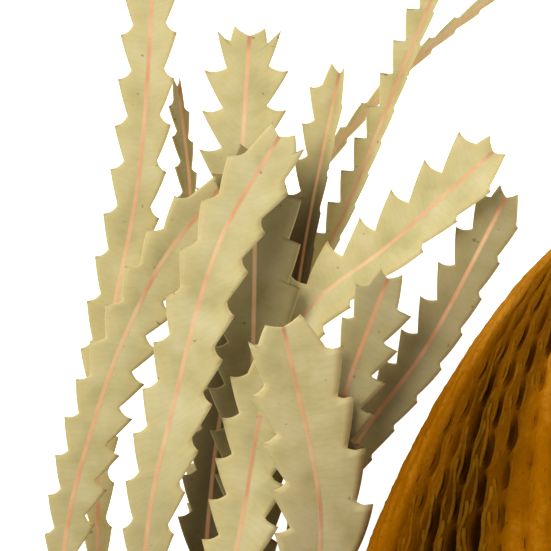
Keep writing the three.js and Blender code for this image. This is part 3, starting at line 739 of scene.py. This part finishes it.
# leathery leaf, matt and dried to khaki: thin salmon midrib, pale margin, hardly any veins
def makeLeafMaterial():
    material, tree, shader = newMaterial("dryLeaf", {"IOR": 1.45, "Specular IOR Level": 0.3})
    place = addNode(tree, "TexCoord").outputs["Object"]
    tooth = addNode(tree, "Attribute", {"attribute_name": "point"}).outputs["Fac"]
    side, fromTip, fromEdge = readKept(tree, "blade")
    veinFar, dryAndShade, distance = readKept(tree, "growth")

    # in millimetres: clouds 9, the veins' wandering 4, specks 1.6, patches along the midrib 11, grain 0.5
    noises = []
    for size, detail, rough in ((9, 3, 0.55), (4, 2, 0.5), (1.6, 1, 0.5), (11, 3, 0.5), (0.5, 3, 0.5)):
        noise = addNode(tree, "TexNoise", {"Scale": 1 / (size * mm), "Detail": detail, "Roughness": rough},
                        {"Vector": place})
        noises.append(noise.outputs["Fac"])
    cloud, wander, speckle, ribPatch, grain = noises

    # veins 1.4 mm apart, wandering a little
    phase = addNode(tree, "Math", {"operation": "MULTIPLY_ADD", 1: 3.0}, {0: wander, 2: veinFar})
    waves = addNode(tree, "Math", {"operation": "MULTIPLY", 1: 2 * math.pi / 1.4}, {0: phase.outputs[0]})
    swell = addNode(tree, "Math", {"operation": "SINE"}, {0: waves.outputs[0]})
    fromRib = addNode(tree, "Math", {"operation": "ABSOLUTE"}, {0: side})

    # masks: what each goes by, where it starts, where it is full, and how strong it is there
    masks = []
    for source, start, full, most in (
            (fromEdge, 4.0, 0.3, 0.4), (swell.outputs[0], 0.4, 1.0, 1.0), (speckle, 0.75, 0.79, 0.6),
            (fromEdge, 0.3, 0.12, 0.4), (fromTip, 4.0, 0.3, 0.6), (fromRib.outputs[0], 0.62, 0.2, 0.85),
            (distance, 12.0, 1.0, 0.7)):
        mask = addNode(tree, "MapRange", {"interpolation_type": "SMOOTHSTEP", "From Min": start,
                                          "From Max": full, "To Max": most}, {"Value": source})
        masks.append(mask.outputs[0])
    yellow, vein, speck, margin, ribEnd, onRib, stalk = masks
    faint = addNode(tree, "Math", {"operation": "MULTIPLY", 1: 0.05}, {0: vein})
    pointed = addNode(tree, "MapRange", {"From Min": 0.3, "From Max": 1.0, "To Max": 0.6}, {"Value": tooth})
    ribDryShade = addNode(tree, "Math", {"operation": "MULTIPLY", 1: 0.35}, {0: dryAndShade})

    # khaki, and over it: yellower edges, veins, few brown specks, the dried brown that is also painted shade
    # on leaves lying under others, pale margin, brown points
    khaki = addNode(tree, "ValToRGB", {"stops": [(0.3, "#B0A672"), (0.5, "#C0B684"), (0.7, "#CBC296")]},
                    {"Fac": cloud})
    sheet = khaki.outputs["Color"]
    for mask, over in ((yellow, "#C8B87C"), (faint.outputs[0], "#8F8450"), (speck, "#7A6030"),
                       (dryAndShade, "#44330F"), (margin, "#DCCB8C"), (pointed.outputs[0], "#8A5630")):
        sheet = addNode(tree, "Mix", {"data_type": "RGBA", 7: toLinear(over)}, {0: mask, 6: sheet}).outputs[2]
    # midrib: salmon, in places paler, reddish brown at its end, browner with the leaf's dried brown and
    # painted shade; the stalk browns towards its foot
    salmon = addNode(tree, "ValToRGB", {"stops": [(0.32, "#CE8E66"), (0.5, "#DCA880"), (0.66, "#E2BC92")]},
                     {"Fac": ribPatch})
    rib = salmon.outputs["Color"]
    for mask, over in ((ribEnd, "#9C5534"), (ribDryShade.outputs[0], "#8A5630")):
        rib = addNode(tree, "Mix", {"data_type": "RGBA", 7: toLinear(over)}, {0: mask, 6: rib}).outputs[2]
    ribbed = addNode(tree, "Mix", {"data_type": "RGBA"}, {0: onRib, 6: sheet, 7: rib})
    whole = addNode(tree, "Mix", {"data_type": "RGBA", 7: toLinear("#8A5A38")},
                    {0: stalk, 6: ribbed.outputs[2]})

    relief = addNode(tree, "Math", {"operation": "MULTIPLY_ADD", 1: 0.5}, {0: grain, 2: vein})
    bump = addNode(tree, "Bump", {"Strength": 0.15, "Distance": 0.1 * mm}, {"Height": relief.outputs[0]})
    rough = addNode(tree, "MapRange", {"To Min": 0.6, "To Max": 0.8}, {"Value": cloud})
    tree.links.new(whole.outputs[2], shader.inputs["Base Color"])
    tree.links.new(rough.outputs[0], shader.inputs["Roughness"])
    tree.links.new(bump.outputs["Normal"], shader.inputs["Normal"])
    return material


dryLeaf = makeLeafMaterial()
leaves = [dict(zip(leafFields, row)) for row in leafTable]
leafPieces = [makeLeaf(leaf, f"leaf_{k + 1:02d}", dryLeaf) for k, leaf in enumerate(leaves)]
print("leaves made:", sum(len(p.data.polygons) for p in leafPieces), "faces")


# bark of a young branch, dried: grey-brown and furrowed lengthways, felted tan on the shoots
def makeBarkMaterial():
    material, tree, shader = newMaterial("furrowedBark", {"Roughness": 0.88, "Specular IOR Level": 0.25})
    place = addNode(tree, "TexCoord").outputs["Object"]
    around, along, felt = readKept(tree, "grain")
    stretched = addNode(tree, "Math", {"operation": "MULTIPLY", 1: 0.16}, {0: along})
    lie = addNode(tree, "CombineXYZ", {}, {"X": around, "Y": stretched.outputs[0]})
    # furrows of 1 mm and lichen in patches of 6 mm
    furrows = addNode(tree, "TexNoise", {"Scale": 1.1, "Detail": 5, "Roughness": 0.65},
                      {"Vector": lie.outputs[0]})
    patches = addNode(tree, "TexNoise", {"Scale": 1 / (6 * mm), "Detail": 3}, {"Vector": place})
    bark = addNode(tree, "ValToRGB", {"stops": [(0.3, "#3D2C1C"), (0.48, "#6E5640"), (0.7, "#9A8468")]},
                   {"Fac": furrows.outputs["Fac"]})
    lichen = addNode(tree, "MapRange", {"interpolation_type": "SMOOTHSTEP", "From Min": 0.58, "From Max": 0.7,
                                        "To Max": 0.5}, {"Value": patches.outputs["Fac"]})
    greyed = addNode(tree, "Mix", {"data_type": "RGBA", 7: toLinear("#A89C88")},
                     {0: lichen.outputs[0], 6: bark.outputs["Color"]})
    # felt of 0.5 mm tufts
    tufts = addNode(tree, "TexNoise", {"Scale": 1 / (0.5 * mm), "Detail": 2}, {"Vector": place})
    felted = addNode(tree, "ValToRGB", {"stops": [(0.3, "#7A5430"), (0.7, "#A8794A")]},
                     {"Fac": tufts.outputs["Fac"]})
    whole = addNode(tree, "Mix", {"data_type": "RGBA"},
                    {0: felt, 6: greyed.outputs[2], 7: felted.outputs["Color"]})
    bump = addNode(tree, "Bump", {"Strength": 0.8, "Distance": 0.4 * mm}, {"Height": furrows.outputs["Fac"]})
    tree.links.new(whole.outputs[2], shader.inputs["Base Color"])
    tree.links.new(bump.outputs["Normal"], shader.inputs["Normal"])
    return material


# balls and bars joined by remeshing into one skin, then furrowed
def makeStem(material):
    steps = branch["steps"]
    bars = []
    for name, (track, radius) in axes.items():
        far = np.linspace(0, track.length, steps)
        narrower = 0 if name == "branch" else branch["shootTaper"] * smoothstep(0.3, 1, far / track.length)
        bars.append((track.at(far), radius * (1 - narrower) * np.ones(steps)))
    collarTop = onAxis(-cone["heel"] + cone["boreDepth"] - branch["seatGap"])
    t = np.linspace(0, 1, steps)
    bars.append((collarFoot + (collarTop - collarFoot) * t[:, None],
                 branch["radius"] + (branch["collarRadius"] - branch["radius"]) * smoothstep(0, 0.35, t)))

    # swellings: at the fork, the buds and the leaves' feet
    forkWay = np.array(branch["forkWay"])
    balls = [(fork, forkWay / np.linalg.norm(forkWay), branch["forkRadius"], branch["forkLength"])]
    for name in ("left", "middle"):
        track, _ = axes[name]
        balls.append((track.place[-1], track.heading[-1], branch["budRadius"], branch["budLength"]))
    balls += [(*leafFoot(leaf), branch["footRadius"], branch["footLength"]) for leaf in leaves]
    u = np.linspace(-1, 1, steps)
    rounded = np.sqrt(np.clip(1 - u * u, 0.002, 1))
    for centre, way, radius, length in balls:
        bars.append((np.array(centre) + way * (u * length)[:, None], radius * rounded))

    paths, radii = (np.array(part) for part in zip(*bars))
    heading = np.gradient(paths, axis=1)
    upright = np.where(np.abs(heading[..., 2:3]) / lengthOf(heading) > 0.9, (1.0, 0, 0), (0, 0, 1.0))
    points, faces = sweepTubes(paths, upright, radii, radii, branch["sides"])
    piece = makePiece("stemBark", points, faces, material)
    oneSkin = piece.modifiers.new("oneSkin", "REMESH")
    oneSkin.mode = "VOXEL"
    oneSkin.voxel_size = branch["voxel"] * mm
    soften = piece.modifiers.new("soften", "SMOOTH")
    soften.factor = 0.5
    soften.iterations = 3
    bpy.context.view_layer.update()
    shaped = bpy.data.meshes.new_from_object(piece.evaluated_get(bpy.context.evaluated_depsgraph_get()))
    piece.modifiers.clear()
    piece.data = shaped
    spots, normals = np.zeros((2, len(shaped.vertices) * 3))
    shaped.vertices.foreach_get("co", spots)
    shaped.vertices.foreach_get("normal", normals)
    spots, normals = spots.reshape(-1, 3) / mm, normals.reshape(-1, 3)

    # nearest axis gives each point its place along the grain and round it
    best = np.full(len(spots), 1e9)
    grain = np.zeros((len(spots), 3))
    for order, (name, (track, radius)) in enumerate(axes.items()):
        samples, headings, distances = track.place[::4], track.heading[::4], track.far[::4]
        gap = np.linalg.norm(spots[:, None] - samples[None], axis=2)
        nearest = gap.argmin(1)
        near = gap.min(1) - radius
        spoke, way = spots - samples[nearest], headings[nearest]
        right = np.cross(way, (0, 0, 1.0))
        right /= lengthOf(right)
        up = np.cross(right, way)
        angle = np.arctan2((spoke * up).sum(1), (spoke * right).sum(1))
        felt = smoothstep(0.15, 0.6, nearest / len(samples)) * (name != "branch")
        values = np.stack([angle * radius, distances[nearest] + 100 * order, felt], 1)
        closer = near < best
        grain[closer] = values[closer]
        best = np.minimum(best, near)
    around, along, felt = grain.T
    furrow = np.sin(around * branch["furrowsPerMm"] + 1.5 * np.sin(along * 0.21))
    furrow = furrow * np.sin(along * 0.33 + around)
    fromScar = np.mod(along, branch["scarEvery"]) - 8
    scar = branch["scarHeight"] * np.exp(-(fromScar / branch["scarHalf"]) ** 2)
    rise = branch["furrowDepth"] * furrow * (1 - 0.7 * felt) - branch["sunk"] + scar * (1 - felt)
    spots = spots + normals * rise[:, None]
    spots[:, 2] = np.maximum(spots[:, 2], branch["lowest"])
    shaped.vertices.foreach_set("co", (spots * mm).ravel())
    kept = shaped.attributes.new("grain", "FLOAT_VECTOR", "POINT")
    kept.data.foreach_set("vector", grain.astype(np.float32).ravel())
    shaped.shade_smooth()
    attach(piece, "root")
    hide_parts("stem")
    return piece


bark = makeBarkMaterial()
stem = makeStem(bark)
print("branch made:", len(stem.data.polygons), "faces")


# floor, light and camera

studio = {
    "floorHalf": 3000, "floorHeight": -0.05, "floorGlow": 1.0, "world": 0.4, "lampsAim": (-40, 50, 30),
    "centre": (-54, 76), "cameraHeight": 945, "plane": 45, "span": 110.2, "sensor": 36,
}


# photographer's paper, matt and nearly white, with fibres of 3 mm; its glow keeps it free of shadows
def makeFloor():
    material, tree, shader = newMaterial("paperSweep", {
        "Roughness": 0.9, "Emission Color": (1, 1, 1, 1), "Emission Strength": studio["floorGlow"]})
    place = addNode(tree, "TexCoord").outputs["Object"]
    fibres = addNode(tree, "TexNoise", {"Scale": 1 / (3 * mm), "Detail": 3}, {"Vector": place})
    colour = addNode(tree, "ValToRGB", {"stops": [(0.0, "#F4F4F3"), (1.0, "#FBFBFA")]},
                     {"Fac": fibres.outputs["Fac"]})
    tree.links.new(colour.outputs["Color"], shader.inputs["Base Color"])
    half, height = studio["floorHalf"], studio["floorHeight"]
    corners = [(x * half, y * half, height) for x, y in ((-1, -1), (1, -1), (1, 1), (-1, 1))]
    makePiece("floorSheet", corners, [[0, 1, 2, 3]], material)


def addArea(name, place, size, power, colour):
    light = bpy.data.lights.new(name, "AREA")
    light.shape = "RECTANGLE"
    light.size, light.size_y = size
    light.energy = power
    light.color = toLinear(colour)[:3]
    lamp = addObject(name, light)
    lamp.location = place
    aim = np.array(studio["lampsAim"]) * mm - np.array(place)
    lamp.rotation_mode = "QUATERNION"
    lamp.rotation_quaternion = Vector(aim).to_track_quat("-Z", "Y")


makeFloor()
addArea("softLeft", (-0.6, 0.45, 1.0), (0.6, 0.6), 12.4, "#FFFAF2")
addArea("softRight", (0.75, 0.0, 0.9), (0.5, 0.6), 4.3, "#FFF6E6")
world = bpy.data.worlds.new("paleRoom")
bpy.context.scene.world = world
world.use_nodes = True
background = world.node_tree.nodes["Background"].inputs
background["Color"].default_value = (1, 1, 1, 1)
background["Strength"].default_value = studio["world"]
bpy.context.scene.view_settings.view_transform = "Standard"

lens = bpy.data.cameras.new("camera")
lens.sensor_width = studio["sensor"]
lens.lens = studio["sensor"] * (studio["cameraHeight"] - studio["plane"]) / studio["span"]
lens.clip_start, lens.clip_end = 0.05, 20
camera = addObject("camera", lens)
camera.location = (studio["centre"][0] * mm, studio["centre"][1] * mm, studio["cameraHeight"] * mm)
bpy.context.scene.camera = camera
print("studio made")
